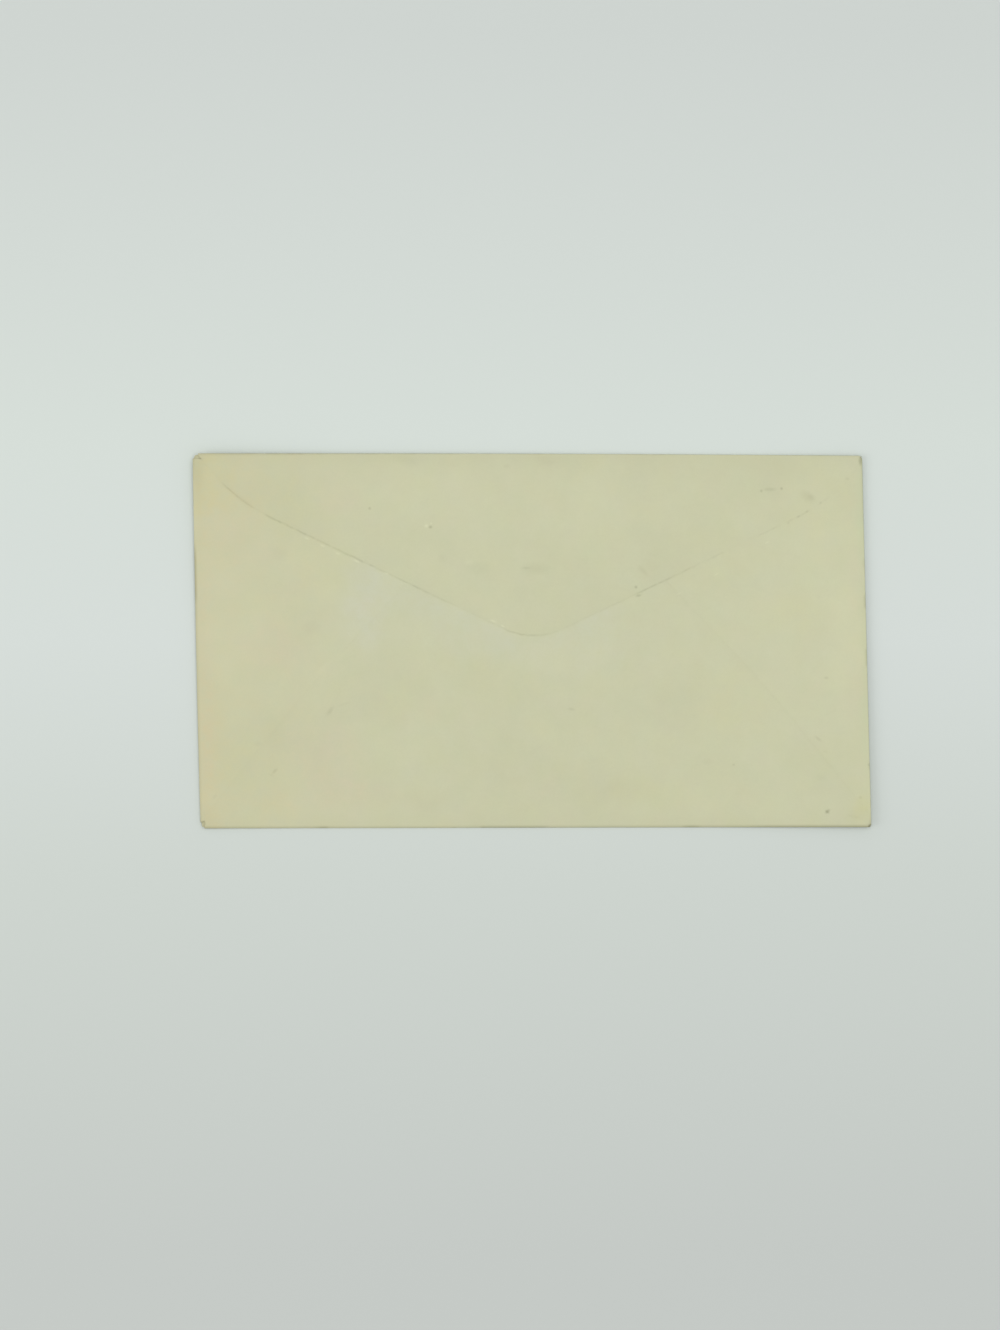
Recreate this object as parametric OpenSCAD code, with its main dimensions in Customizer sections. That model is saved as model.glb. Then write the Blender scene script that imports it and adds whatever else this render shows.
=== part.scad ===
// Letter envelope with a pointed seal flap, folded from one sheet and closed.
// It lies face down, so the address panel's outside is on z = 0 and the seal flap hangs from the fold at +Y.
// The origin is the middle of the address panel, and X runs along the width. Millimetres.

/* [Envelope] */
// Width, from side fold to side fold
body_w = 165.1; // [130:0.1:240]
// Height, from the bottom fold to the top fold
body_h = 92.1; // [80:0.1:125]
// Lean of the side folds out of square, in degrees
side_lean = 1.3; // [0:0.1:3]
// Rounding of the address panel's corners
corner_r = 1.2; // [0.6:0.1:3]
// How far each side fold stops short of its corners, so that the flaps clear each other
fold_relief = 1.3; // [1:0.1:5]

/* [Paper] */
// Thickness of the sheet
paper_t = 0.12; // [0.08:0.01:0.25]
// Height of the empty pocket behind the address panel
pocket_h = 0.5; // [0.2:0.05:1.5]

/* [Seal flap] */
// Depth below the top fold at which the flap's two straight edges would meet
flap_depth = 46.7; // [40:0.1:60]
// Rounding of the flap's tip
flap_tip_r = 17; // [4:0.5:30]
// Depth of the flap's shoulders, before rounding
shoulder_depth = 11.7; // [6:0.1:16]
// How far the shoulders stand in from the ends of the top fold, before rounding
shoulder_inset = 7.5; // [5:0.1:12]
// Rounding of the shoulders
shoulder_r = 48; // [10:1:60]
// How far the flap's slanting sides would pass the ends of the top fold, which cut them off
flap_overrun = 1.7; // [0:0.1:3]
// Place of the flap's middle, right of the middle of the top fold
flap_offset = 1.7; // [-3:0.1:3]

/* [Bottom flap] */
// How far the seal flap's edges, where they would meet, reach past the bottom flap's top edge
flap_overlap = 18.6; // [12:0.1:24]
// Length of the bottom flap's top edge, before its corners are rounded
bottom_top_w = 58; // [40:0.5:80]
// Rounding of the bottom flap's upper corners
bottom_corner_r = 12; // [4:0.5:20]
// Height at which the slanting seams start from the side folds
seam_heel = 4; // [3:0.1:8]
// How far the slanting seams bow outwards at their middle
seam_bow = 1.6; // [0.2:0.1:3]
// Place of the bottom flap's middle, right of the middle of the bottom fold
bottom_offset = 0.5; // [-2:0.1:2]

/* [Side flaps] */
// Reach of the side flaps in from the side folds
side_depth = 58; // [50:0.5:62]
// Rounding of the side flaps' inner ends
side_tip_r = 9; // [4:0.5:12]
// How far the side flaps pass under the bottom flap, past its slanting seams
seam_lap = 14; // [8:0.5:18]
// Drop of the side flaps' upper edges from the side folds to their inner ends
side_drop = 12; // [6:0.5:16]

/* [Hidden] */

// Steps in each rounded corner's arc, and the most of an edge that its two roundings may take
arc_steps = 24;
edge_share = 0.98;

// Facets that preview each fold's round bend
$fn = 48;

// Straight ends of each bend, which lap the flat parts, and how far the flat parts stay inside a lap's edges
fold_lap = 0.7;
lap_inset = 0.25;

// Heights of the undersides of the folded layers, from the address panel up
side_z = paper_t + pocket_h;
bottom_z = side_z + paper_t;
seal_z = bottom_z + paper_t;

// Each fold is half a round tube that turns the sheet from z = 0 up to its flap
side_bend_r = (side_z + paper_t) / 2;
bottom_bend_r = (bottom_z + paper_t) / 2;
top_bend_r = (seal_z + paper_t) / 2;

// Sideways shift of the side folds for each millimetre of height
lean = tan(side_lean);

// Flat part of the address panel, which ends partway along the bends' laps
side_inset = (side_bend_r + lap_inset) / cos(side_lean);
panel_w = body_w - 2 * side_inset;
panel_top = body_h / 2 - top_bend_r - lap_inset;
panel_bottom = -body_h / 2 + bottom_bend_r + lap_inset;

// Lengths of the four folds
side_fold_top = body_h / 2 - fold_relief;
side_fold_bottom = -body_h / 2 + fold_relief;
top_fold_w = panel_w - 2 * corner_r;
bottom_fold_w = top_fold_w;

// Bottom flap's height, from the bottom fold to its top edge
bottom_h = body_h - flap_depth + flap_overlap;

// Rounding that blends the two halves of a bowed seam
seam_r = 300;

// Direction of a vector, a vector turned by an angle, and the place of a corner [x, y, radius]
function unit(v) = v / norm(v);
function turned(v, angle) = [v.x * cos(angle) - v.y * sin(angle), v.x * sin(angle) + v.y * cos(angle)];
function xy(v) = [v.x, v.y];

// Length along the edge from corner b to corner a that b's rounding may use
function room(b, a) = norm(xy(a) - xy(b)) * edge_share / (a.z == 0 ? 1 : 2);

// Arc that rounds corner b between its neighbours a and c, no larger than their edges allow
function corner(a, b, c) =
    let (to_a = unit(xy(a) - xy(b)))
    let (to_c = unit(xy(c) - xy(b)))
    let (half = acos(to_a * to_c) / 2)
    let (reach = min(b.z / tan(half), room(b, a), room(b, c)))
    let (centre = xy(b) + unit(to_a + to_c) * reach / cos(half))
    let (start = xy(b) + to_a * reach - centre)
    let (side = cross(to_a, to_c) < 0 ? 1 : -1)
    [for (i = [0 : arc_steps]) centre + turned(start, side * (180 - 2 * half) * i / arc_steps)];

// Outline through corners [x, y, radius], each rounded unless its radius is 0
function rounded(v) = [
    for (i = [0 : len(v) - 1])
        each v[i].z == 0
            ? [xy(v[i])]
            : corner(v[(i + len(v) - 1) % len(v)], v[i], v[(i + 1) % len(v)])
];

// Mirror image of a run of corners in the Y axis, in the order that closes an outline
function mirrored(v) = [for (i = [len(v) - 1 : -1 : 0]) [-v[i].x, v[i].y, v[i].z]];

// X of a side fold's outer edge, and of the flat parts' ends, at height y on the left (-1) or right (1) side
function side_x(side, y) = side * body_w / 2 - lean * y;
function side_inner_x(side, y) = side * panel_w / 2 - lean * y;

// A flat sheet of paper with its underside at z
module sheet(z) {
    translate([0, 0, z])
        linear_extrude(paper_t)
            children();
}

// Round bend of the sheet along a fold of the given length, which runs along Y from the origin.
// The bend's outermost line is on x = 0 and its straight ends go off towards +X, above and below.
module bend(length, bend_r) {
    translate([bend_r, 0, bend_r])
        rotate([-90, 0, 0])
            linear_extrude(length) {
                difference() {
                    circle(bend_r);
                    circle(bend_r - paper_t);
                    translate([0, -2 * bend_r])
                        square(4 * bend_r);
                }
                for (y = [-bend_r, bend_r - paper_t])
                    translate([0, y])
                        square([fold_lap, paper_t]);
            }
}

// Address panel: the flat middle of the sheet, out of square by the side folds' lean
module address_panel() {
    sheet(0)
        polygon(rounded([
            [side_inner_x(-1, panel_bottom), panel_bottom, corner_r],
            [side_inner_x(1, panel_bottom), panel_bottom, corner_r],
            [side_inner_x(1, panel_top), panel_top, corner_r],
            [side_inner_x(-1, panel_top), panel_top, corner_r]
        ]));
}

// Height of the side flaps' lower inner corners, which keeps the lap under the slanting seams
function side_tip_low() =
    let (slope = (bottom_h - seam_heel) / (bottom_fold_w / 2 - bottom_top_w / 2))
    -body_h / 2 + seam_heel + slope * side_depth - seam_lap * sqrt(1 + slope * slope);

// Side flap for the left (-1) or the right (1) side: folded in under the bottom flap
module side_flap(side) {
    inner_x = side_x(side, 0) - side * side_depth;
    fold_l = (side_fold_top - side_fold_bottom) / cos(side_lean);
    sheet(side_z)
        polygon(rounded([
            [side_inner_x(side, side_fold_bottom), side_fold_bottom + lap_inset, 0],
            [inner_x, side_tip_low(), side_tip_r],
            [inner_x, side_fold_top - side_drop, side_tip_r],
            [side_inner_x(side, side_fold_top), side_fold_top - lap_inset, 0]
        ]));
    translate([side_x(side, side_fold_bottom), side_fold_bottom, 0])
        rotate([0, 0, side_lean])
            mirror([side > 0 ? 1 : 0, 0, 0])
                bend(fold_l, side_bend_r);
}

// Corners of the bottom flap's right half, from its fold up, about its own middle
function bottom_half() =
    let (heel = [bottom_fold_w / 2, seam_heel])
    let (top = [bottom_top_w / 2, bottom_h])
    let (out = unit([top.y - heel.y, heel.x - top.x]) * seam_bow)
    let (middle = (heel + top) / 2 + out)
    [
        [bottom_fold_w / 2 - lap_inset, bottom_bend_r + lap_inset, 0],
        [heel.x, heel.y, 0],
        [middle.x, middle.y, seam_r],
        [top.x, top.y, bottom_corner_r]
    ];

// Bottom flap: folded up over the side flaps, with slanting seams and a level top edge
module bottom_flap() {
    translate([lean * body_h / 2 + bottom_offset, -body_h / 2, 0]) {
        sheet(bottom_z)
            polygon(rounded(concat(bottom_half(), mirrored(bottom_half()))));
        translate([bottom_fold_w / 2, 0, 0])
            rotate([0, 0, 90])
                bend(bottom_fold_w, bottom_bend_r);
    }
}

// Corners of the seal flap, about its own middle, with y = 0 at the top fold's outer edge
function seal_outline() =
    let (shoulder = [top_fold_w / 2 - shoulder_inset, -shoulder_depth, shoulder_r])
    let (root = [top_fold_w / 2 + flap_overrun, -top_bend_r - lap_inset, 0])
    rounded(concat([[0, -flap_depth, flap_tip_r], shoulder, root], mirrored([shoulder, root])));

// Seal flap: folded down over the back and stuck, with its sides cut off at the fold's ends
module seal_flap() {
    translate([-lean * body_h / 2, body_h / 2, 0]) {
        sheet(seal_z)
            intersection() {
                translate([flap_offset, 0])
                    polygon(seal_outline());
                translate([-top_fold_w / 2 + lap_inset, -body_h])
                    square([top_fold_w - 2 * lap_inset, body_h]);
            }
        translate([-top_fold_w / 2, 0, 0])
            rotate([0, 0, -90])
                bend(top_fold_w, top_bend_r);
    }
}

module envelope() {
    color("#c9caaa") {
        address_panel();
        side_flap(-1);
        side_flap(1);
        bottom_flap();
        seal_flap();
    }
}

envelope();
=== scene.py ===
import math

import bmesh
import bpy
import numpy as np
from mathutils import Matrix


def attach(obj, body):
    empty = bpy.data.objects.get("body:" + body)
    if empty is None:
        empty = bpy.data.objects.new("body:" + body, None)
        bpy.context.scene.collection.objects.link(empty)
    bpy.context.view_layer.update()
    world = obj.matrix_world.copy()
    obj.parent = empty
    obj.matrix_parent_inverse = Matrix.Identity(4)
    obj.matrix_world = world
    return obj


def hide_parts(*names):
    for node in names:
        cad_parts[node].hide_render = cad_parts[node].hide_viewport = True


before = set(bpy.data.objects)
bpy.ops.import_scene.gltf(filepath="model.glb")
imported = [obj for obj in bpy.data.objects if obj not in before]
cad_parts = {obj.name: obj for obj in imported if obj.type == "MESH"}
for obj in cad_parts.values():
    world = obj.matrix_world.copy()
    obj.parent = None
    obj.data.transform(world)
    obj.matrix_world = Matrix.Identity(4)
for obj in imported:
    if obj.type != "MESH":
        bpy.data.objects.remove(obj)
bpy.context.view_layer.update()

mm = 0.001
print("frame loaded:", sorted(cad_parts))


# shared helpers

def fromHex(code):
    # sRGB hex to the linear colour that the shaders want
    channels = [int(code[i:i + 2], 16) / 255 for i in (1, 3, 5)]
    linear = [c / 12.92 if c <= 0.04045 else ((c + 0.055) / 1.055) ** 2.4 for c in channels]
    return (*linear, 1.0)


def addNode(tree, kind, settings=None, links=None):
    # settings: property names or input sockets to values
    # links: input sockets to output sockets, or to whole nodes, which give their first output
    made = tree.nodes.new(kind)
    for key, value in (settings or {}).items():
        if isinstance(key, str) and hasattr(made, key):
            setattr(made, key, value)
        else:
            made.inputs[key].default_value = value
    for socket, source in (links or {}).items():
        output = source.outputs[0] if isinstance(source, bpy.types.Node) else source
        tree.links.new(output, made.inputs[socket])
    return made


def smooth(low, high, value):
    # 0 at low, 1 at high, eased between them; low may be the larger
    share = np.clip((value - low) / (high - low), 0, 1)
    return share * share * (3 - 2 * share)


def between(stops, value):
    # reads a table of place: value pairs at any place
    return np.interp(value, list(stops), list(stops.values()))


# outline helpers: plain 2D work in millimetres

def roundedOutline(corners, steps=24):
    # corners are (x, y, radius), and a radius of 0 stays sharp
    points = []
    for k, (x, y, radius) in enumerate(corners):
        here = np.array([x, y])
        if radius == 0:
            points.append(here)
            continue
        toLast = np.array(corners[k - 1][:2]) - here
        toNext = np.array(corners[(k + 1) % len(corners)][:2]) - here
        toLast /= np.linalg.norm(toLast)
        toNext /= np.linalg.norm(toNext)
        half = math.acos(np.clip(toLast @ toNext, -1, 1)) / 2
        reach = radius / math.tan(half)
        bisector = (toLast + toNext) / np.linalg.norm(toLast + toNext)
        centre = here + bisector * radius / math.sin(half)
        spoke = here + toLast * reach - centre
        swing = np.sign(toNext[0] * toLast[1] - toNext[1] * toLast[0]) * (math.pi - 2 * half)
        for step in range(steps + 1):
            angle = swing * step / steps
            turn = np.array([[math.cos(angle), -math.sin(angle)], [math.sin(angle), math.cos(angle)]])
            points.append(centre + turn @ spoke)
    return np.array(points)


def signedDistance(outline, x, y):
    # distance from each point to a closed outline, negative inside it
    place = np.stack([x, y], axis=1)
    nearest = np.full(len(x), np.inf)
    inside = np.zeros(len(x), bool)
    for a, b in zip(outline, np.roll(outline, -1, axis=0)):
        run = b - a
        along = np.clip(((place - a) @ run) / max(run @ run, 1e-12), 0, 1)
        nearest = np.minimum(nearest, np.linalg.norm(place - a - along[:, None] * run, axis=1))
        crosses = (a[1] > y) != (b[1] > y)
        if a[1] != b[1]:
            inside ^= crosses & (x < run[0] * (y - a[1]) / run[1] + a[0])
    return np.where(inside, -nearest, nearest)


# The envelope: one sheet, folded on four lines. Millimetres, from the middle of the address panel,
# x along the width, y towards the seal flap's fold, z up from the table.
envelope = {
    "topLeft": (-83.35, 46.1), "topRight": (81.65, 45.6),  # where the fold lines would cross
    "bottomLeft": (-81.5, -46.35), "bottomRight": (83.85, -46.0),
    "leftBow": 0.2, "topBow": 0.25,  # these two folds bow out a little
    # how far the die cut each corner back along its two folds, and where the cut's middle lies
    "topLeftNotch": (1.15, 1.05), "topLeftCut": (0.55, 0.5),
    "topRightNotch": (0.3, 0.35), "topRightCut": (0.1, 0.12),
    "bottomLeftNotch": (0.75, 1.3), "bottomLeftCut": (0.35, 0.5),
    "bottomRightNotch": (0.2, 0.2), "bottomRightCut": (0.05, 0.05),
    "pinch": 0.35,  # the single sheet at each cut corner is squeezed up between the folds
    "paper": 0.12,
    "gap": 0.012,  # air between touching layers, so that they never cut through each other
    "pressed": (0.45, 0.95),  # shares of a flap's margin between which it gains its full thickness
    # air in the pocket at the folds and in the middle, where it starts and how far it eases in
    "pocketEdge": 0.2, "pocketMiddle": 0.5, "pillowStart": 0.25, "pillow": 14,
    # waves of the cockled paper: height, swing per millimetre across and along, and start
    "cockles": [(0.05, 0.16, 0.09, 0), (0.04, -0.2, 0.11, 1.3), (0.035, 0.05, 0.33, 0.4),
                (0.02, 0.45, 0.3, 0)],
    "cockleEase": (0.5, 8),  # they start this far from the folds, and are full this far in
    # parts that curl off the table: direction in degrees, where it starts, where it ends, and its lift
    "curls": [(100, 20, 45, 0.38), (172, 45, 83, 0.8), (0, 35, 84, 0.85), (-30, 45, 95, 0.65)],
    "cell": 1.1, "bendRows": 8,  # size of the mesh's cells, and rows of them round a fold
    "fineReach": 1.6, "fineRise": 5,  # finer cells this near the bottom flap's outline, and above its fold
}

# Tables give a value at places across the flap, in millimetres from the envelope's middle.
# The flap's margin is pressed into the paper under it, so its cut edge stands only partly proud.
sealFlap = {
    "middle": 0.63, "depth": 46.7, "tipRadius": 17,
    "shoulder": (73.4, 11.7), "shoulderRadius": 46, "rootHalf": 82.9,
    "proud": {-82: 0.01, -77: 0.01, -75: 0.05, -69: 0.04, -67.5: 0.015, -66: 0.015, -64: 0.06, -50: 0.06,
              -32: 0.055, -22: 0.055, -18: 0.025, -8: 0.025, -4: 0.06, 3: 0.055, 6: 0.02, 19: 0.025,
              24: 0.04, 28: 0.065, 36: 0.055, 38: 0.016, 66: 0.012, 80: 0.01},
    "proudInside": 0.05, "proudReach": 3,  # how proud it is away from its edge, and how soon
    "lift": {-77: 0, -75: 0.06, -69: 0.04, -67: 0, 4: 0, 7: 0.025, 18: 0.02, 22: 0, 27: 0.03,
             36: 0.02, 40: 0},
    "liftReach": 2.2,
    "margin": 3.4,
    "ridge": 0.035, "ridgeHalf": 1.1,  # what shows of the bottom flap's outline through this flap
    "ridgeEase": (0.3, 2),  # it fades this near the folds
}

bottomFlap = {
    "middle": 1.63, "height": 64.0, "topHalf": 29.0, "cornerRadius": 10,
    "heel": 4.0, "bow": 1.6, "bowRadius": 300,
    "endCut": 1.2,  # its root stops this far short of the fold's ends
    "proud": 0.015, "margin": 3.4,
    "drape": 1.3,  # width over which the seal flap comes down beside it
}

sideFlaps = {
    "depth": 58, "tipRadius": 9, "drop": 12, "margin": 3.4,
    "lap": 14, "seamFoot": 81.3,  # how far it laps the seam, and where the seam's line would start
}

sheetT = envelope["paper"]
gap = envelope["gap"]
shortestFlap = 0.3


def edgePoint(side, share):
    # point on one of the four outer fold lines; share runs left to right or bottom to top
    ends = {"top": ("topLeft", "topRight"), "bottom": ("bottomLeft", "bottomRight"),
            "left": ("bottomLeft", "topLeft"), "right": ("bottomRight", "topRight")}[side]
    start, end = (np.array(envelope[name]) for name in ends)
    point = start + (end - start) * share
    bulge = 4 * share * (1 - share)
    if side == "top":
        point[1] += envelope["topBow"] * bulge
    if side == "left":
        point[0] -= envelope["leftBow"] * bulge
    return point


def mirroredOutline(half, middle, foldY, tip=()):
    # outline of a flap about its own middle, from its tip, if it has one, and its right half
    other = [(-x, y, r) for x, y, r in reversed(half)]
    return roundedOutline([*tip, *half, *other]) + np.array([middle, foldY])


def sealOutline():
    s = sealFlap
    half = [(s["shoulder"][0], -s["shoulder"][1], s["shoulderRadius"]), (s["rootHalf"], 0, 0)]
    return mirroredOutline(half, s["middle"], envelope["topLeft"][1], [(0, -s["depth"], s["tipRadius"])])


def bottomOutline():
    b = bottomFlap
    foldHalf = (envelope["bottomRight"][0] - envelope["bottomLeft"][0]) / 2 - b["endCut"]
    heel = np.array([foldHalf, b["heel"]])
    top = np.array([b["topHalf"], b["height"]])
    out = np.array([top[1] - heel[1], heel[0] - top[0]])
    middle = (heel + top) / 2 + out / np.linalg.norm(out) * b["bow"]
    half = [(foldHalf, 0, 0), (*heel, 0), (*middle, b["bowRadius"]), (*top, b["cornerRadius"])]
    return mirroredOutline(half, b["middle"], envelope["bottomLeft"][1])


def sideReach(y):
    # how far a side flap runs in from its fold, at height y
    f, b = sideFlaps, bottomFlap
    low = envelope["bottomLeft"][1] + envelope["bottomLeftNotch"][1]
    high = envelope["topLeft"][1] - envelope["topLeftNotch"][1]
    slope = (b["height"] - b["heel"]) / (f["seamFoot"] - b["topHalf"])
    tipLow = envelope["bottomLeft"][1] + b["heel"] + slope * f["depth"] - f["lap"] * math.hypot(1, slope)
    outline = roundedOutline([(0, low, 0), (f["depth"], tipLow, f["tipRadius"]),
                              (f["depth"], high - f["drop"], f["tipRadius"]), (0, high, 0)])
    return float(np.interp(y, outline[:, 1], outline[:, 0]))


sealLine = sealOutline()
bottomLine = bottomOutline()


def sealDepth(x):
    # how far the seal flap hangs below the top fold at x
    edge = sealLine[np.argsort(sealLine[:, 0])]
    return envelope["topLeft"][1] - float(np.interp(x, edge[:, 0], edge[:, 1]))


def bottomRise(x):
    # how far the bottom flap reaches above the bottom fold at x
    edge = bottomLine[np.argsort(bottomLine[:, 0], kind="stable")]
    upper = edge[edge[:, 1] > envelope["bottomLeft"][1] + 0.01]
    return float(np.interp(x, upper[:, 0], upper[:, 1])) - envelope["bottomLeft"][1]


# Height of each fold over the table, from the layers that it wraps
backEdge = envelope["pocketEdge"] + 2 * sheetT
foldHeight = {"left": backEdge, "right": backEdge, "bottom": backEdge + bottomFlap["proud"] + gap,
              "top": backEdge + sealFlap["proudInside"] + gap}
inward = {"left": (1, 0), "right": (-1, 0), "bottom": (0, 1), "top": (0, -1)}
armNumber = {"panel": 0, "left": 1, "right": 2, "bottom": 3, "top": 4}
flapMargin = {"left": sideFlaps["margin"], "right": sideFlaps["margin"],
              "bottom": bottomFlap["margin"], "top": sealFlap["margin"]}
marginShares = (0.7, 0.42, 0.2, 0.06, 0.0)  # last rows before a cut edge, closer and closer


def buildSheet():
    # A grid for the address panel, and four arms extruded from its sides, bent over and laid back.
    # Only x and y are placed here; the turn layer says how far round its fold a point is.
    width = envelope["topRight"][0] - envelope["topLeft"][0]
    height = envelope["topLeft"][1] - envelope["bottomLeft"][1]
    columns = round(width / envelope["cell"])
    rows = round(height / envelope["cell"])
    bm = bmesh.new()
    bmesh.ops.create_grid(bm, x_segments=columns, y_segments=rows, size=0.5)
    bmesh.ops.reverse_faces(bm, faces=bm.faces)  # the panel's outside faces the table
    armLayer = bm.verts.layers.float.new("arm")
    countLayer = bm.verts.layers.int.new("count")
    turnLayer = bm.verts.layers.float.new("turn")
    cornerLayer = bm.verts.layers.float.new("corner")

    def spread(k, count, axis, startCorner, endCorner):
        # share along a side: the first and last cells are as wide as the corner cuts
        if k == 0 or k == count:
            return k / count
        length = (width, height)[axis]
        startCut, endCut = envelope[startCorner + "Notch"][axis], envelope[endCorner + "Notch"][axis]
        return (startCut + (length - startCut - endCut) * (k - 1) / (count - 2)) / length

    borders = {side: {} for side in inward}
    for v in bm.verts:
        i = round((v.co.x + 0.5) * columns)
        j = round((v.co.y + 0.5) * rows)
        if j == rows:
            borders["top"][v] = i
        if j == 0:
            borders["bottom"][v] = i
        if i == 0:
            borders["left"][v] = j
        if i == columns:
            borders["right"][v] = j
        acrossTop = spread(i, columns, 0, "topLeft", "topRight")
        acrossBottom = spread(i, columns, 0, "bottomLeft", "bottomRight")
        upLeft = spread(j, rows, 1, "bottomLeft", "topLeft")
        upRight = spread(j, rows, 1, "bottomRight", "topRight")
        up = upLeft + (upRight - upLeft) * i / columns
        across = acrossBottom + (acrossTop - acrossBottom) * up
        # the panel stops short of each outer fold line by half that fold's height
        top = edgePoint("top", across) - np.array([0, foldHeight["top"] / 2])
        bottom = edgePoint("bottom", across) + np.array([0, foldHeight["bottom"] / 2])
        left = edgePoint("left", up) + np.array([foldHeight["left"] / 2, 0])
        right = edgePoint("right", up) - np.array([foldHeight["right"] / 2, 0])
        v.co.x = left[0] + (right[0] - left[0]) * across
        v.co.y = bottom[1] + (top[1] - bottom[1]) * up
        if i in (0, columns) and j in (0, rows):  # the die cut the corners off
            name = ("bottom" if j == 0 else "top") + ("Left" if i == 0 else "Right")
            v.co.x = envelope[name][0] + envelope[name + "Cut"][0] * (1 if i == 0 else -1)
            v.co.y = envelope[name][1] + envelope[name + "Cut"][1] * (1 if j == 0 else -1)
            v[cornerLayer] = 1

    def flapLength(side, root):
        if side == "top":
            return sealDepth(root[0]) - (envelope["topLeft"][1] - root[1])
        if side == "bottom":
            return bottomRise(root[0]) - (root[1] - envelope["bottomLeft"][1])
        return sideReach(root[1])

    def nextRow(edges):
        made = bmesh.ops.extrude_edge_only(bm, edges=edges)["geom"]
        verts = [g for g in made if isinstance(g, bmesh.types.BMVert)]
        ends = set(verts)
        ahead = [g for g in made if isinstance(g, bmesh.types.BMEdge)
                 and g.verts[0] in ends and g.verts[1] in ends]
        return verts, ahead

    for side, border in borders.items():
        count = columns if side in ("top", "bottom") else rows
        for v, k in border.items():
            v[countLayer] = k
        front = []
        for edge in bm.edges:
            ks = [border.get(v) for v in edge.verts]
            if None not in ks and min(ks) >= 1 and max(ks) <= count - 1:
                front.append(edge)
        step = np.array(inward[side])
        roots = {k: np.array([v.co.x, v.co.y]) for v, k in border.items()}
        lengths = {k: max(flapLength(side, root), shortestFlap) for k, root in roots.items()}
        margin = {k: min(flapMargin[side], 0.5 * length) for k, length in lengths.items()}
        flatRows = round(max(lengths.values()) / envelope["cell"])

        def placeRow(verts, turn, measure):
            for v in verts:
                k = v[countLayer]
                v.co.x, v.co.y = roots[k] + step * measure(k)
                v[turnLayer] = turn
                v[armLayer] = armNumber[side]

        for row in range(1, envelope["bendRows"] + 1):
            bulge = foldHeight[side] / 2 * math.sin(math.pi * row / envelope["bendRows"])
            verts, front = nextRow(front)
            placeRow(verts, row / envelope["bendRows"], lambda k, out=bulge: -out)
        for row in range(1, flatRows + 1):
            verts, front = nextRow(front)
            placeRow(verts, 1, lambda k, r=row: (lengths[k] - margin[k]) * r / flatRows)
        for share in marginShares:
            verts, front = nextRow(front)
            placeRow(verts, 1, lambda k, s=share: lengths[k] - margin[k] * s)

    # finer cells where the bottom flap's outline shows, on it, beside it and through the seal flap
    flat = [v for v in bm.verts if v[turnLayer] == 1]
    away = signedDistance(bottomLine, np.array([v.co.x for v in flat]), np.array([v.co.y for v in flat]))
    lowest = envelope["bottomLeft"][1] + envelope["fineRise"]
    near = {v for v, d in zip(flat, away) if abs(d) < envelope["fineReach"] and v.co.y > lowest}
    fine = [e for e in bm.edges if e.verts[0] in near and e.verts[1] in near
            and e.verts[0][armLayer] == e.verts[1][armLayer]]
    bmesh.ops.subdivide_edges(bm, edges=fine, cuts=1, use_grid_fill=True)

    bm.verts.layers.int.remove(countLayer)
    for edge in bm.edges:
        edge.smooth = not edge.is_boundary  # the cut edges stay crisp
    for face in bm.faces:
        face.smooth = True
    mesh = bpy.data.meshes.new("envelopeSheet")
    bm.to_mesh(mesh)
    bm.free()
    return mesh


def readPoints(mesh, name):
    values = np.empty(len(mesh.vertices))
    mesh.attributes[name].data.foreach_get("value", values)
    return values


def storePoints(mesh, name, values):
    mesh.attributes.new(name, "FLOAT", "POINT").data.foreach_set("value", values.astype(np.float32))


def surveySheet(mesh):
    # where each point lies: on which arm, and how far from the folds and from the flaps' outlines
    place = np.empty(len(mesh.vertices) * 3)
    mesh.vertices.foreach_get("co", place)
    x, y = place[0::3], place[1::3]
    arm = np.rint(readPoints(mesh, "arm"))
    stations = np.linspace(0, 1, 40)  # enough for the folds' slight bows
    lines = {side: np.array([edgePoint(side, share) for share in stations]) for side in inward}
    outer = np.concatenate([lines["bottom"], lines["right"], lines["top"][::-1], lines["left"][::-1]])
    return {
        "x": x, "y": y,
        "panel": arm == armNumber["panel"], "bottom": arm == armNumber["bottom"],
        "sides": (arm == armNumber["left"]) | (arm == armNumber["right"]), "top": arm == armNumber["top"],
        "toFold": np.maximum(-signedDistance(outer, x, y), 0),
        "toSeal": signedDistance(sealLine, x, y), "toSeam": signedDistance(bottomLine, x, y),
        "toEach": {side: np.abs(signedDistance(lines[side], x, y)) for side in inward},
    }


def pressedThickness(inside, proud, margin):
    # a flap's margin is drawn as thin as it stands proud, as the paper beneath takes the rest
    start, end = envelope["pressed"]
    return proud + (sheetT - proud) * smooth(start * margin, end * margin, inside)


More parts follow.
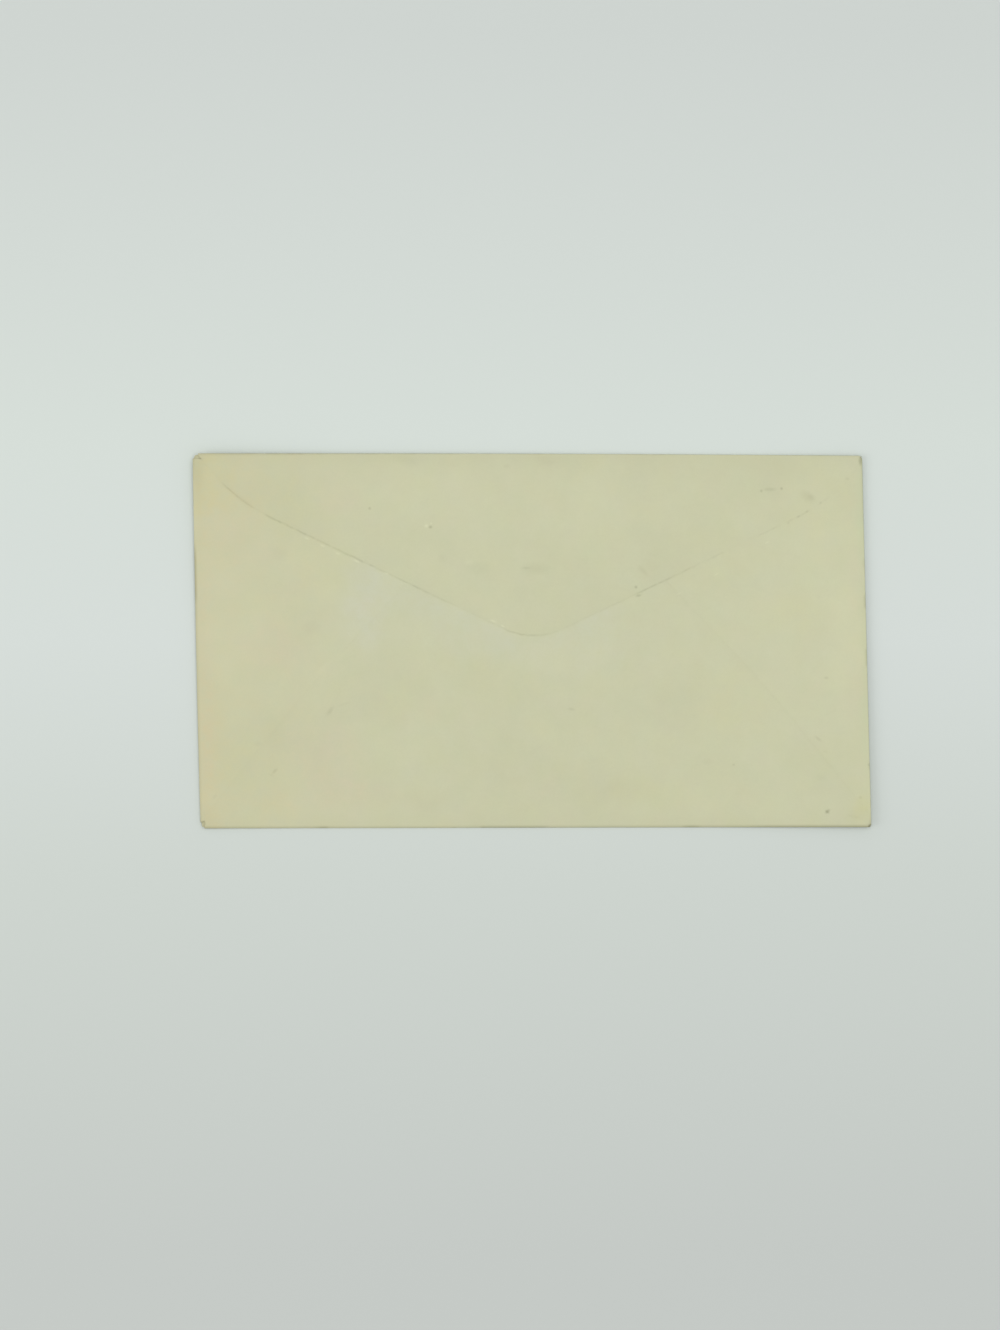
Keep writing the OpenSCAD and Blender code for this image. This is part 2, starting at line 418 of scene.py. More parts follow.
def layHeights(mesh, at):
    # works out each point's height from the layers beneath it
    x, y, toFold, toSeal, toSeam = (at[name] for name in ("x", "y", "toFold", "toSeal", "toSeam"))
    arms = [at["panel"], at["sides"], at["bottom"]]
    e, s, b = envelope, sealFlap, bottomFlap

    # the pocket holds most air in its middle, and the old paper has cockled a little
    ease = np.clip((toFold - e["pillowStart"]) / e["pillow"], 0, 1)
    pocket = e["pocketEdge"] + (e["pocketMiddle"] - e["pocketEdge"]) * (1 - (1 - ease) ** 2)
    cockle = sum(height * np.sin(across * x + along * y + start)
                 for height, across, along, start in e["cockles"])
    back = pocket + 2 * sheetT + cockle * smooth(*e["cockleEase"], toFold)

    edgeShare = np.exp(np.minimum(toSeal, 0) / s["proudReach"])
    sealProud = s["proudInside"] + (between(s["proud"], x) - s["proudInside"]) * edgeShare
    sealThick = pressedThickness(-toSeal, sealProud, s["margin"])
    bottomThick = pressedThickness(-toSeam, b["proud"], b["margin"])
    underSeal = np.where(toSeal < 0, sealThick - sealProud, 0)
    underBottom = np.where(toSeam < 0, bottomThick - b["proud"], 0)
    overBottom = smooth(b["drape"], 0, toSeam) * (b["proud"] + gap)
    overBottom += s["ridge"] * np.exp(-(toSeam / s["ridgeHalf"]) ** 2)
    lift = between(s["lift"], x) * np.exp(np.minimum(toSeal, 0) / s["liftReach"])

    onPanel = np.zeros(len(x))
    onSides = back - underBottom - underSeal
    onBottom = back + b["proud"] + gap - underSeal
    onTop = back + overBottom * smooth(*s["ridgeEase"], toFold) + sealProud + gap + lift
    flat = np.select(arms, [onPanel, onSides, onBottom], onTop)
    folded = np.select(arms, [0, foldHeight["left"], foldHeight["bottom"]], foldHeight["top"])
    turn = readPoints(mesh, "turn")
    onBend = (turn > 0) & (turn < 1)
    z = np.where(onBend, folded * (1 - np.cos(np.pi * turn)) / 2, flat)

    for turned, start, end, rise in e["curls"]:
        outward = x * math.cos(math.radians(turned)) + y * math.sin(math.radians(turned))
        z += rise * np.clip((outward - start) / (end - start), 0, None) ** 2
    z += e["pinch"] * readPoints(mesh, "corner")
    mesh.vertices.foreach_set("co", (np.stack([x, y, z], axis=1) * mm).ravel())

    thick = np.select([at["bottom"], at["top"]], [bottomThick / sheetT, sealThick / sheetT], 1.0)
    storePoints(mesh, "thick", thick)


# How the paper has aged, and the shade and light painted on it, in steps of sRGB lightness. Places and radii
# in millimetres.
ageingAndPaintedShading = {
    # x, y, radius across, radius along, turn in degrees, steps lighter or darker
    "patches": [
        # the patch at (-82.6, 41) is painted shade on the left fold's bend by the top corner; the patch at
        # (78, 1) is painted light on the right part, which curls up to face the low lamp
        (-58, 33, 12, 9, 0, -1.7), (-82.6, 41, 2.0, 6.5, 0, -4.5), (-26, 36, 15, 8, 0, 1.3),
        (15, 33, 23, 9, 0, 1.1), (32, 18.5, 6, 10, 0, -1.3), (-39.5, -11, 12, 6.5, 32, -2.0),
        (-54, 4, 5, 5, 0, -1.4), (-74, 0, 6, 9, 0, 1.2), (78, 1, 6, 16, 0, 2.6), (75, 20, 8, 13, 0, 1.4),
        (0, -36, 36, 11, 0, -2.3), (-4, -14, 42, 12, 0, -0.9), (-27.4, -40, 4, 3.5, 0, -1.8),
        (18.5, -37, 6, 5, 0, -1.8), (-37, -37, 2.5, 2.5, 0, -1.2), (-65, -25, 7, 6, 0, -1.6),
        (66, -33, 12, 8, 0, -1.0), (35, -17.5, 10, 5.5, 0, -1.6), (61, 41, 10, 4.5, 0, -1.6),
        (3, 12.5, 10, 8, 0, -1.2), (-29, 24, 7, 7, 0, -0.9), (4, -4, 15, 5, 0, 0.9), (-44, 10, 8, 9, 0, 0.9),
        (-71, 38, 8, 6, 0, -0.8), (-80.5, -43.5, 3.5, 3, 0, -2.5), (79, -43, 5, 2.5, 0, -1.5),
        (-62, -29, 22, 15, 0, -1.8), (66, 4, 22, 30, 0, 1.4), (72, 40, 14, 7, 0, 1.5),
        (-30.5, 44.6, 3.5, 1.6, 0, -3), (4.2, 44.8, 4, 1.5, 0, -3),
    ],
    # greyer, pinker and yellower patches, the last number being how much
    "grey": [(-41, 9, 7, 11, 0, 0.7), (-14, 1, 20, 5, -25, 0.3), (17, -1, 8, 8, 0, 0.35)],
    "blush": [
        (-64, -1, 9, 6, 0, 1.0), (-72, 30, 6, 13, 0, 0.8), (-50, -30, 8, 13, 20, 1.0),
        (-47, 35, 5, 5, 0, 0.9), (-80, -5, 2.5, 34, 0, 0.8), (-63, -40, 6, 4, 0, 0.8),
        (-42, -38, 8, 5, 0, 0.8), (-57, 17, 5, 6, 0, 0.4), (-27, -17, 5, 3, 0, 0.5),
        (3, -36, 9, 2.5, 0, 0.4), (80.5, 14, 2.5, 10, 0, 0.7),
        (79.5, -10, 3.5, 9, 0, 0.6), (81.7, 28, 1.7, 20, 0, -1.4), (82.8, -10, 1.5, 24, 0, -1.1),
    ],
    "yellow": [
        (-78, 38, 9, 8, 0, 1.2), (82, -41.5, 2.6, 4, 0, 2.6), (-68, -30, 12, 12, 0, 0.5),
        (-62, -41, 6, 4, 0, 0.8), (27, -37, 12, 6, 0, 0.7), (48, -15, 9, 8, 0, 0.7), (67, 7, 8, 4, 0, 0.9),
        (44, 22, 9, 10, 0, 0.5), (71, 33, 9, 10, 0, 0.6), (-62, 32, 10, 7, -25, 0.9), (-51, 20, 6, 6, 0, 0.7),
        (-34, -14, 5, 4, 0, 0.7), (-9, -10, 7, 4, 0, 0.6), (46, -36, 8, 7, 0, 0.4), (-53, 12, 7, 6, 0, 0.4),
    ],
    # the left edge was toned most: strength, how far inside its fold, and half the width there
    "tanEdge": (0.32, 2.5, 3.5),
    "tanAlong": {-46: 1.2, -36: 1.3, -22: 1.3, -12: 0.5, 0: 0, 14: 0.2, 24: 0.7, 34: 1.0, 46: 0.9},
    # strength and reach of the toning that fades across from the left, and of that along all folds
    "tanAcross": (0.3, 30), "tanFolds": (0.12, 3.0),
    # pale band outside the flap's edge: strength, place and half width, and where it starts and ends
    "greyBand": (0.3, 2, 4), "greyStart": (-52, -35), "greyEnd": (30, 16),
    "greyCut": 0.6,  # no grey on the seal flap: it fades out this far on both sides of the flap's edge
    # painted shade and light in steps, and their reach: shade inside the folds, shade just inside the seal
    # flap's edge and light just outside it, and steps darker or lighter beside the seams
    "foldShade": {"top": (1.5, 4.0), "bottom": (2.4, 2.8), "left": (1.0, 2.0)},
    "sealShade": (1.3, 2.2), "sealLight": (0.9, 2.0), "seamShade": (0.5, 2.0), "seamLight": (0.5, 2.5),
    "seamShadeStart": 4,  # above the bottom fold
    # darkness of the four folds' edges, at places along them: wear, and painted shade on each fold's rounded
    # bend
    "foldDarkLine": {
        "left": {-46: 16, -44: 7, -34: 7, -25: 9, 0: 10, 9: 13, 11: 27, 21: 25, 24: 4, 28: 0, 38: 0, 42: 4,
                 45: 12},
        "right": {-46: 20, -44.5: 8, -43: 0, -31.5: 0, -31: 12, -30.3: 12, -30: 0, -6.5: 0, -6: 13, -2.5: 13,
                  -2: 0, 7.5: 0, 8: 13, 11: 13, 11.5: 0, 18: 0, 18.5: 8, 20: 8, 20.5: 0, 28: 2, 31: 5, 42: 7,
                  45: 16},
        "top": {-84: 8, -78: 9, -60: 7, -50: 2, -30: 0, 60: 0, 76: 3, 80: 3, 83: 10},
        "bottom": {-84: 24, -78: 17, -60: 13, -53: 13, -52.5: 26, -50: 26, -49.5: 12, -13: 12, -12: 24,
                   3.5: 24, 4.5: 14, 37.5: 16, 38.3: 30, 41: 30, 41.8: 17, 52: 19, 58: 29, 84: 31},
    },
    # darkness of the line along the seal flap's cut edge: dirt that the edge has caught, and painted shadow
    # under the edge
    "sealDarkLine": {-82: 0, -77: 0, -75: 3.8, -69: 3.4, -67.5: 0, -66: 0, -65: 10, -50: 8, -33: 7, -20: 7,
                 -17: 1.5, -7: 2, -4: 7, 3: 6.5, 5: 1.2, 18: 1.2, 21: 2, 25.5: 3.5, 27: 5.5, 34: 5.5,
                 35.2: 0.3, 37: 0.3, 37.5: 7, 39.6: 6.5, 40.4: 2.5, 41.6: 2.5, 42: 0, 43.4: 0, 44.4: 6.5,
                 47.6: 6, 48.2: 0, 56: 0, 56.6: 7, 57.4: 6, 58: 3, 58.8: 6, 60: 6, 60.6: 0, 62.8: 0, 63.5: 5,
                 68: 5, 69: 0, 70.5: 0, 71: 3.5, 73: 3.5, 73.5: 0},
    # how strong the painted shade just inside the flap's edge and the painted light just outside it are, at
    # places along the edge
    "sealEdgeShading": {-82: 0, -74: 1, 34: 1, 40: 0.35, 70: 0.2, 76: 0},
    # how far that line of dirt and painted shadow is broken into dashes
    "sealBreaks": {-82: 0.2, -20: 0.25, 20: 0.3, 36: 0.3, 38: 0.1, 80: 0.1},
    # darkness of the dirt along the bottom flap's seams
    "seamDarkLine": {-84: 0, -60: 0.2, -45: 0.4, -36: 0.3, -20: 0, 25: 0.5, 40: 0.8, 72: 0.8, 84: 0},
}


def spots(table, x, y):
    # sum of soft oval patches, with edges that wander by a millimetre or two
    wanderX = 1.6 * np.sin(0.31 * x + 0.9 * np.sin(0.23 * y)) + 0.9 * np.sin(0.83 * y + 0.41 * x)
    wanderY = 1.5 * np.sin(0.37 * y + 1.1 * np.sin(0.19 * x) + 2) + 0.9 * np.sin(0.77 * x - 0.35 * y + 1)
    total = np.zeros(len(x))
    for px, py, across, along, turn, amount in table:
        wander = min(1, across / 8)  # small patches wander less
        dx = x + wanderX * wander - px
        dy = y + wanderY * wander - py
        c, s = math.cos(math.radians(turn)), math.sin(math.radians(turn))
        far = ((dx * c + dy * s) / across) ** 2 + ((dy * c - dx * s) / along) ** 2
        total += amount * np.exp(-far ** 1.5)
    return total


def ageAndShadeSheet(mesh, at):
    # stores how toned, worn and dirty each point is, and the shade and light painted on it, for the paper
    # material to read
    x, y, toFold, toSeal, toSeam = (at[name] for name in ("x", "y", "toFold", "toSeal", "toSeam"))
    toEach = at["toEach"]
    a = ageingAndPaintedShading
    flapSide = ~at["panel"]  # the address side is plain

    # the folds' dark edges: wear, and painted shade on each fold's rounded bend
    foldWearAndShade = np.zeros(len(x))
    nearest = np.minimum.reduce(list(toEach.values())) + 1e-6
    for side, distance in toEach.items():
        along = y if side in ("left", "right") else x
        foldWearAndShade = np.where(distance <= nearest, between(a["foldDarkLine"][side], along), foldWearAndShade)

    toneAndShade = spots(a["patches"], x, y) * flapSide
    # painted shade inside each fold, where the paper curves down into it
    for side, (steps, reach) in a["foldShade"].items():
        toneAndShade -= steps * np.exp(-(toEach[side] / reach) ** 2)
    # painted shade just inside the seal flap's edge and painted light just outside it; bands darker and
    # lighter beside the seams
    beside = {  # which points, how much, and how far from the edge they are
        "sealShade": (at["top"], -between(a["sealEdgeShading"], x), -toSeal),
        "sealLight": (at["sides"] | at["bottom"], between(a["sealEdgeShading"], x), toSeal),
        "seamShade": (at["bottom"] & (toEach["bottom"] > a["seamShadeStart"]), -1, -toSeam),
        "seamLight": (at["sides"], 1, toSeam),
    }
    for name, (points, amount, distance) in beside.items():
        steps, reach = a[name]
        toneAndShade += np.where(points, steps * amount * np.exp(-np.maximum(distance, 0) / reach), 0)

    tan = np.zeros(len(x))
    strength, place, half = a["tanEdge"]
    tan += strength * between(a["tanAlong"], y) * np.exp(-((toEach["left"] - place) / half) ** 2)
    strength, reach = a["tanAcross"]
    tan += strength * np.exp(-(toEach["left"] / reach) ** 2)
    strength, reach = a["tanFolds"]
    tan += strength * np.exp(-toFold / reach)

    strength, place, half = a["greyBand"]
    band = strength * np.exp(-((toSeal - place) / half) ** 2)
    grey = spots(a["grey"], x, y) + band * smooth(*a["greyStart"], x) * smooth(*a["greyEnd"], x)
    grey *= smooth(-a["greyCut"], a["greyCut"], toSeal)

    farAway = 99
    # the tone layer and the folds' and flap edge's dark lines hold painted shade and light as well as the
    # paper's own tone, wear and dirt
    layers = {
        "toneAndShade": toneAndShade, "tan": tan, "grey": grey * flapSide,
        "blush": spots(a["blush"], x, y) * flapSide, "yellow": spots(a["yellow"], x, y) * flapSide,
        "foldEdge": toFold, "foldDarkLine": foldWearAndShade,
        "sealEdge": np.where(at["panel"], farAway, toSeal), "sealDarkLine": between(a["sealDarkLine"], x) * flapSide,
        "sealBreaks": between(a["sealBreaks"], x),
        "seamEdge": np.where(at["panel"], farAway, toSeam), "seamDarkLine": between(a["seamDarkLine"], x) * flapSide,
        "flapSide": flapSide,
    }
    for name, values in layers.items():
        storePoints(mesh, name, values)
    return list(layers)


sheetMesh = buildSheet()
survey = surveySheet(sheetMesh)
layHeights(sheetMesh, survey)
print("sheet folded:", len(sheetMesh.vertices), "points,", len(sheetMesh.polygons), "faces")
paperLayers = ageAndShadeSheet(sheetMesh, survey)
sheetMesh.update()
print("sheet aged:", ", ".join(paperLayers))


# Wove writing paper, machine made and unbleached, aged: matt and cream, cloudy where the fibres clot,
# toned tan at its left edge, with dirt and painted shade along the folds and the flap's cut edge, dirt along
# the seams,
# a few flecks, painted shade and light beside the flap's edge, and a few painted highlights
agedPaperAndPaintedShading = {
    "cream": "#CACBAA",
    "stepLight": 0.0112,  # one sRGB step near this cream is about 1.1 per cent of its light
    # how ageing pushes the cream's red, green and blue, in the same steps
    "hues": {"tan": (2.4, -3.8, -9.5), "grey": (-1.0, 0.0, 9.0), "blush": (1.6, -0.8, 0.3),
             "yellow": (0.3, 0, -3.0)},
    "roughness": 0.9, "specular": 0.2, "bumpMm": 0.012,
    # size in millimetres and detail of each grain; real fibres are finer, and wouldn't show
    "grains": {"cloud": (11.0, 2), "clot": (2.2, 3), "fibre": (0.55, 3), "broken": (1.6, 2),
               "dash": (3.2, 1)},
    "grainSteps": {"cloud": 1.3, "clot": 0.8, "fibre": 0.8},  # steps lighter or darker that these bring
    "driftMm": 6.0, "driftSteps": (3.5, 2.5, 7.0),  # red, green and blue drift apart a little
    "lineMm": {"fold": 0.85, "seam": 0.8, "seal": 0.42},  # how far each edge's dark line reaches: dirt, with painted shade in the folds' and the flap edge's lines
    "ragged": 0.13,  # the die left the flap's cut edge slightly ragged
    "dirtShadeAndHighlightHue": (1.0, 1.0, 1.08),  # dirt, painted shade and painted highlights move blue a little more, so the dark ones look olive
    # x, y, radius along, radius across, turn in degrees, steps lighter or darker
    "marks": [
        # the light marks at (-25.8, 28.3) and (-24.6, 28.9) are painted highlights beside the fleck at
        # (-24.8, 28.0)
        (-39.8, 32.6, 0.42, 0.42, 0, -14), (-24.8, 28.0, 0.5, 0.42, 0, -18), (-25.8, 28.3, 0.55, 0.5, 0, 9),
        (-24.6, 28.9, 0.3, 0.3, 0, 9), (73.1, -42.1, 0.8, 0.45, 40, -20), (73.0, -42.2, 0.75, 0.35, -40, -12),
        (72.8, -9.2, 0.6, 0.4, 0, -10), (50.0, -30.6, 0.42, 0.3, 0, -9), (43.5, -29.9, 1.3, 1.0, 0, -3),
        (10.0, -16.9, 0.9, 0.4, -10, -8), (-63.2, -32.2, 0.95, 0.42, 45, -9),
        (-64.0, -33.2, 0.8, 0.3, -20, -4),
        (-78.0, -38.5, 0.8, 0.45, 45, -4), (81.2, -38.7, 0.55, 0.42, 0, -7), (-54.5, 3.3, 2.3, 2.0, 0, -2.4),
        (56.8, 36.9, 0.36, 0.38, 0, -14), (58.9, 37.3, 1.7, 0.5, 0, -8), (61.8, 37.5, 0.4, 0.38, 0, -17),
        (68.3, 35.5, 2.2, 1.3, -35, -6), (69.1, 35.3, 1.1, 0.7, -30, -4), (70.8, -24.2, 1.2, 0.42, -40, -8),
        (78.0, 39.9, 0.6, 0.4, 0, -6), (-12.8, 17.8, 3.6, 1.6, 0, -2.6), (1.0, 17.7, 3.5, 1.6, 0, -4.8),
        (-1.3, 17.9, 1.3, 0.35, 0, -6), (25.9, 13.2, 0.45, 0.42, 0, -17), (26.5, 11.1, 0.8, 0.36, 10, -16),
        (-49.6, -17.4, 1.5, 0.6, 52, -8), (-46.4, -15.8, 2.2, 0.4, 20, -2.5), (63.5, 29.0, 0.4, 0.35, 0, -6),
        (65.9, 30.6, 0.45, 0.33, 20, -7), (68.1, 31.8, 0.4, 0.33, 0, -6), (71.4, 34.0, 0.4, 0.35, 0, -6),
        # the dark marks at (-81.0, -45.2), (81.2, 44.3) and (83.6, -45.6) are painted shade in the cut
        # corners' notches, where the folds meet
        (83.4, -30.6, 0.5, 0.4, 0, -12), (-81.0, -45.2, 0.8, 0.7, 45, -30), (81.2, 44.3, 0.55, 1.2, 0, -18),
        (83.6, -45.6, 0.65, 0.45, 20, -34), (79.5, -43.4, 2.2, 0.5, -15, -3),
        (27.6, 17.3, 1.9, 0.7, -45, -4.5),
        (-21.8, 20.5, 1.3, 1.5, 0, -2.6), (-15.4, 19.3, 1.1, 0.8, 0, 2.2),
        (-72.0, 35.3, 5.0, 0.85, -39, -2.2),
        # the light marks at (-50.5, -6.6) and (-46.5, -3.2) are painted light along the left seam, on the
        # slope of the bottom flap's edge
        (-50.5, -6.6, 3.0, 1.2, 41, 2.0), (-46.5, -3.2, 3.2, 1.0, 41, 1.2), (-62.0, 21.3, 2.2, 1.9, 0, -2.2),
        (-5.9, 43.0, 0.9, 0.6, 0, -3), (-67.4, -25.5, 1.1, 0.7, 0, -2.2), (72.7, -27.4, 0.7, 0.3, 0, -3),
        (71.6, -33.7, 1.5, 0.9, -20, -2), (70.9, 10.8, 0.5, 0.8, 0, -2.5),
        # the flap's cut edge catches the light in a few places
        (-55.3, 25.2, 0.75, 0.3, -25, 7), (-51.4, 23.4, 0.7, 0.3, -25, 7), (-47.6, 21.5, 0.7, 0.3, -25, 7),
        (-43.0, 19.6, 0.8, 0.3, -25, 9), (-35.6, 16.6, 0.6, 0.28, -22, 7), (-9.3, 4.8, 0.9, 0.3, -25, 8),
        (-7.0, 3.6, 0.5, 0.25, -25, 8), (36.5, 11.6, 0.8, 0.25, 25, 5), (45.8, 16.4, 0.7, 0.25, 26, 5),
        (58.2, 24.2, 0.7, 0.25, 28, 5),
    ],
    "markDepth": 1000,  # marks are ovals from above, whatever the height of the paper
    "markFade": (0.15, 1.35),  # shares of its radii between which a mark fades
}


def makePaper():
    p = agedPaperAndPaintedShading
    material = bpy.data.materials.new("agedWovePaperAndPaintedShading")
    material.use_nodes = True
    tree = material.node_tree
    tree.nodes.clear()
    coords = addNode(tree, "ShaderNodeTexCoord")
    place = addNode(tree, "ShaderNodeVectorMath", {"operation": "SCALE", "Scale": 1 / mm},
                    {0: coords.outputs["Object"]})
    stored = {}
    for name in paperLayers:
        stored[name] = addNode(tree, "ShaderNodeAttribute", {"attribute_name": name}).outputs["Fac"]

    grains = {}  # noises about zero
    for name, (size, detail) in p["grains"].items():
        noise = addNode(tree, "ShaderNodeTexNoise", {"Scale": 1 / size, "Detail": detail, "Roughness": 0.55},
                        {"Vector": place})
        grains[name] = addNode(tree, "ShaderNodeMapRange",
                               {"From Min": 0.25, "From Max": 0.75, "To Min": -1, "To Max": 1},
                               {"Value": noise})
    # how much of the seams' dirt and of the flap edge's dirt and painted shadow is left, from blotch to
    # blotch and from dash to dash
    broken = addNode(tree, "ShaderNodeMapRange", {"From Min": -0.5, "From Max": 0.3, "To Min": 0.3},
                     {"Value": grains["broken"]})
    dashes = addNode(tree, "ShaderNodeMapRange", {"From Min": -0.1, "From Max": 0.2, "To Max": 1.8},
                     {"Value": grains["dash"]})

    steps = stored["toneAndShade"]
    for name, amount in p["grainSteps"].items():
        steps = addNode(tree, "ShaderNodeMath", {"operation": "MULTIPLY_ADD", 1: amount},
                        {0: grains[name], 2: steps})

    # dark lines: dirt and painted shade, whole along the folds; dirt along the seams and dirt and painted
    # shadow along the flap's cut edge, both broken
    cut = addNode(tree, "ShaderNodeMath", {"operation": "MULTIPLY_ADD", 1: p["ragged"]},
                  {0: grains["clot"], 2: stored["sealEdge"]})
    darkLines = {}
    for name, distance in {"fold": stored["foldEdge"], "seam": stored["seamEdge"], "seal": cut}.items():
        apart = addNode(tree, "ShaderNodeMath", {"operation": "ABSOLUTE"}, {0: distance})
        near = addNode(tree, "ShaderNodeMapRange", {"interpolation_type": "SMOOTHSTEP",
                                                    "From Min": p["lineMm"][name], "From Max": 0.0},
                       {"Value": apart})
        darkLines[name] = addNode(tree, "ShaderNodeMath", {"operation": "MULTIPLY"},
                               {0: near, 1: stored[name + "DarkLine"]})
    dashed = addNode(tree, "ShaderNodeMix", links={0: stored["sealBreaks"], 2: broken, 3: dashes})
    dirtShadeAndHighlights = darkLines["fold"]
    for name, breaks in {"seam": broken, "seal": dashed}.items():
        dirtShadeAndHighlights = addNode(tree, "ShaderNodeMath", {"operation": "MULTIPLY_ADD"},
                       {0: darkLines[name], 1: breaks, 2: dirtShadeAndHighlights})

    # marks: flecks of dirt, with painted shade in the corner notches and painted highlights on the flap's cut
    # edge, beside a fleck and along the left seam
    full, gone = p["markFade"]
    for x, y, along, across, turn, amount in p["marks"]:
        local = addNode(tree, "ShaderNodeMapping",
                        {"vector_type": "TEXTURE", "Location": (x, y, 0),
                         "Rotation": (0, 0, math.radians(turn)),
                         "Scale": (along, across, p["markDepth"])}, {"Vector": place})
        far = addNode(tree, "ShaderNodeVectorMath", {"operation": "LENGTH"}, {0: local})
        dot = addNode(tree, "ShaderNodeMapRange",
                      {"interpolation_type": "SMOOTHSTEP", "From Min": gone, "From Max": full,
                       "To Max": -amount}, {"Value": far.outputs["Value"]})
        dirtShadeAndHighlights = addNode(tree, "ShaderNodeMath", {"operation": "MULTIPLY_ADD"},
                       {0: dot, 1: stored["flapSide"], 2: dirtShadeAndHighlights})

    # everything adds up in steps of red, green and blue, and the sum tints the cream
    drift = addNode(tree, "ShaderNodeTexNoise", {"Scale": 1 / p["driftMm"], "Detail": 3.0}, {"Vector": place})
    pushed = addNode(tree, "ShaderNodeVectorMath", {"operation": "MULTIPLY_ADD", 1: p["driftSteps"],
                                                    2: [-0.5 * step for step in p["driftSteps"]]},
                     {0: drift.outputs["Color"]})
    pushed = addNode(tree, "ShaderNodeVectorMath", {"operation": "ADD"}, {0: pushed, 1: steps})
    tintedDirtShadeAndHighlights = addNode(tree, "ShaderNodeVectorMath", {"operation": "SCALE", 0: p["dirtShadeAndHighlightHue"]}, {"Scale": dirtShadeAndHighlights})
    pushed = addNode(tree, "ShaderNodeVectorMath", {"operation": "SUBTRACT"}, {0: pushed, 1: tintedDirtShadeAndHighlights})
    # each hue lies on in patches, from half to one and a half of its strength
    uneven = addNode(tree, "ShaderNodeMapRange",
                     {"From Min": -1, "From Max": 1, "To Min": 0.5, "To Max": 1.5}, {"Value": grains["clot"]})
    for name, push in p["hues"].items():
        patchy = addNode(tree, "ShaderNodeMath", {"operation": "MULTIPLY"}, {0: stored[name], 1: uneven})
        tint = addNode(tree, "ShaderNodeVectorMath", {"operation": "SCALE", 0: push}, {"Scale": patchy})
        pushed = addNode(tree, "ShaderNodeVectorMath", {"operation": "ADD"}, {0: pushed, 1: tint})
    light = addNode(tree, "ShaderNodeVectorMath", {"operation": "MULTIPLY_ADD", 1: (p["stepLight"],) * 3,
                                                   2: (1, 1, 1)}, {0: pushed})
    colour = addNode(tree, "ShaderNodeVectorMath", {"operation": "MULTIPLY", 0: fromHex(p["cream"])[:3]},
                     {1: light})
    bump = addNode(tree, "ShaderNodeBump", {"Strength": 0.5, "Distance": p["bumpMm"] * mm},
                   {"Height": grains["fibre"]})
    shader = addNode(tree, "ShaderNodeBsdfPrincipled",
                     {"Roughness": p["roughness"], "Specular IOR Level": p["specular"]},
                     {"Base Color": colour, "Normal": bump})
    addNode(tree, "ShaderNodeOutputMaterial", links={"Surface": shader})
    return material


sheet = bpy.data.objects.new("envelope_sheet", sheetMesh)
bpy.context.scene.collection.objects.link(sheet)
sheetMesh.materials.append(makePaper())
thin = sheet.vertex_groups.new(name="thickness")
for index, share in enumerate(readPoints(sheetMesh, "thick")):
    thin.add([index], float(share), "REPLACE")
wall = sheet.modifiers.new("paperThickness", "SOLIDIFY")
wall.thickness = sheetT * mm
wall.offset = -1
wall.vertex_group = "thickness"
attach(sheet, "root")
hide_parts("envelope")
print("sheet finished in", sheetMesh.materials[0].name)


# Stage: a plain pale board under soft light from above and all round, and a camera overhead
studio = {
    # tones of the board from front to back, by distance from the envelope's middle in millimetres: painted
    # shade, darker towards the front and a little towards the back
    "board": {-150: "#C6CBC7", -113: "#C9CFCA", -57: "#CED5CF", 0: "#D6DDD9", 50: "#D6DED8", 96: "#D3DAD5",
              150: "#CFD5D1"},
    "boardHalf": 1.2, "boardDrop": 0.02,  # half its width in metres, and how far it lies below z = 0, in mm
    "boardRoughness": 0.9,
    "worldStrength": 0.495,
    "background": "#CFD6D2",  # what the camera and reflections see past the board
    # watts, size and place of each soft lamp: one overhead, and a weak low one from the left
    "lamps": {"overhead": (11.75, 1.2, (0.15, 0.15, 1.57)), "low": (3.8, 0.8, (-1.15, -0.25, 0.8))},
}


def buildBoard():
    s = studio
    bm = bmesh.new()
    bmesh.ops.create_grid(bm, x_segments=1, y_segments=1, size=s["boardHalf"])
    bmesh.ops.translate(bm, verts=bm.verts, vec=(0, 0, -s["boardDrop"] * mm))
    mesh = bpy.data.meshes.new("board")
    bm.to_mesh(mesh)
    bm.free()
    board = bpy.data.objects.new("board", mesh)
    bpy.context.scene.collection.objects.link(board)

    # Matt mounting board, printed with nothing: flat and pale, with painted shade making it a little darker
    # towards its front
    material = bpy.data.materials.new("mattMountingBoard")
    material.use_nodes = True
    tree = material.node_tree
    tree.nodes.clear()
    coords = addNode(tree, "ShaderNodeTexCoord")
    along = addNode(tree, "ShaderNodeSeparateXYZ", links={0: coords.outputs["Object"]}).outputs["Y"]
    low, high = min(s["board"]), max(s["board"])
    share = addNode(tree, "ShaderNodeMapRange", {"From Min": low * mm, "From Max": high * mm},
                    {"Value": along})
    ramp = addNode(tree, "ShaderNodeValToRGB", links={0: share})
    tones = ramp.color_ramp.elements
    for k, (distance, code) in enumerate(s["board"].items()):
        toneAndShade = tones[k] if k < 2 else tones.new(1.0)
        toneAndShade.position = (distance - low) / (high - low)
        toneAndShade.color = fromHex(code)
    shader = addNode(tree, "ShaderNodeBsdfPrincipled", {"Roughness": s["boardRoughness"]},
                     {"Base Color": ramp})
    addNode(tree, "ShaderNodeOutputMaterial", links={"Surface": shader})
    mesh.materials.append(material)


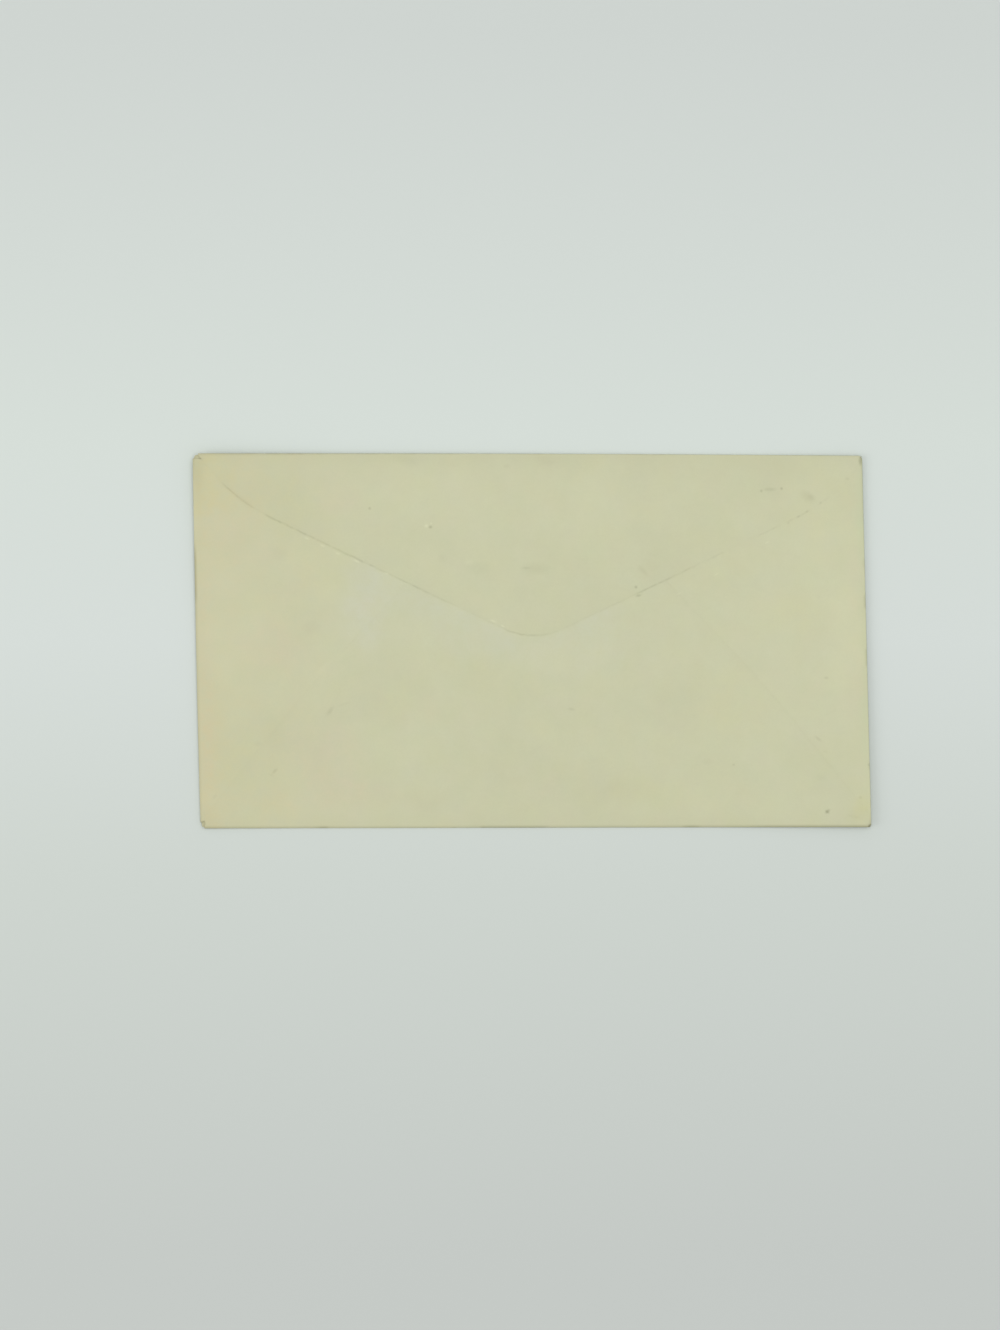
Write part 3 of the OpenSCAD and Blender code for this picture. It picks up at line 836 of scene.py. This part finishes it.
def lightRoom():
    s = studio
    world = bpy.data.worlds.new("softRoom")
    bpy.context.scene.world = world
    world.use_nodes = True
    room = world.node_tree
    room.nodes.clear()
    glow = addNode(room, "ShaderNodeBackground", {"Color": (1, 1, 1, 1), "Strength": s["worldStrength"]})
    seen = addNode(room, "ShaderNodeBackground", {"Color": fromHex(s["background"]), "Strength": 1.0})
    rays = addNode(room, "ShaderNodeLightPath")
    either = addNode(room, "ShaderNodeMath", {"operation": "MAXIMUM"},
                     {0: rays.outputs["Is Camera Ray"], 1: rays.outputs["Is Glossy Ray"]})
    either = addNode(room, "ShaderNodeMath", {"operation": "MAXIMUM"},
                     {0: either, 1: rays.outputs["Is Transmission Ray"]})
    mixed = addNode(room, "ShaderNodeMixShader", links={0: either, 1: glow, 2: seen})
    addNode(room, "ShaderNodeOutputWorld", links={"Surface": mixed})

    for name, (watts, size, place) in s["lamps"].items():
        lamp = bpy.data.lights.new(name, "AREA")
        lamp.energy = watts
        lamp.size = size
        stand = bpy.data.objects.new(name, lamp)
        stand.location = place
        stand.rotation_euler = (-stand.location).to_track_quat("-Z", "Y").to_euler()
        bpy.context.scene.collection.objects.link(stand)


# the picture's frame in pixels, its scale on the table, the pixel over the origin, and metres up
picture = {"width": 1000, "height": 1330, "pixelsPerMm": 4.05, "middle": (530.95, 640.6), "cameraHeight": 0.9}


def aimCamera():
    pic = picture
    lens = bpy.data.cameras.new("camera")
    lens.sensor_fit = "HORIZONTAL"
    frameWidth = pic["width"] / pic["pixelsPerMm"] * mm
    lens.lens = lens.sensor_width * pic["cameraHeight"] / frameWidth
    camera = bpy.data.objects.new("camera", lens)
    camera.location = ((pic["width"] / 2 - pic["middle"][0]) / pic["pixelsPerMm"] * mm,
                       (pic["middle"][1] - pic["height"] / 2) / pic["pixelsPerMm"] * mm, pic["cameraHeight"])
    bpy.context.scene.collection.objects.link(camera)
    bpy.context.scene.camera = camera


buildBoard()
lightRoom()
aimCamera()
bpy.context.scene.view_settings.view_transform = "Standard"
print("stage set: board, room light,", len(studio["lamps"]), "lamps and camera")
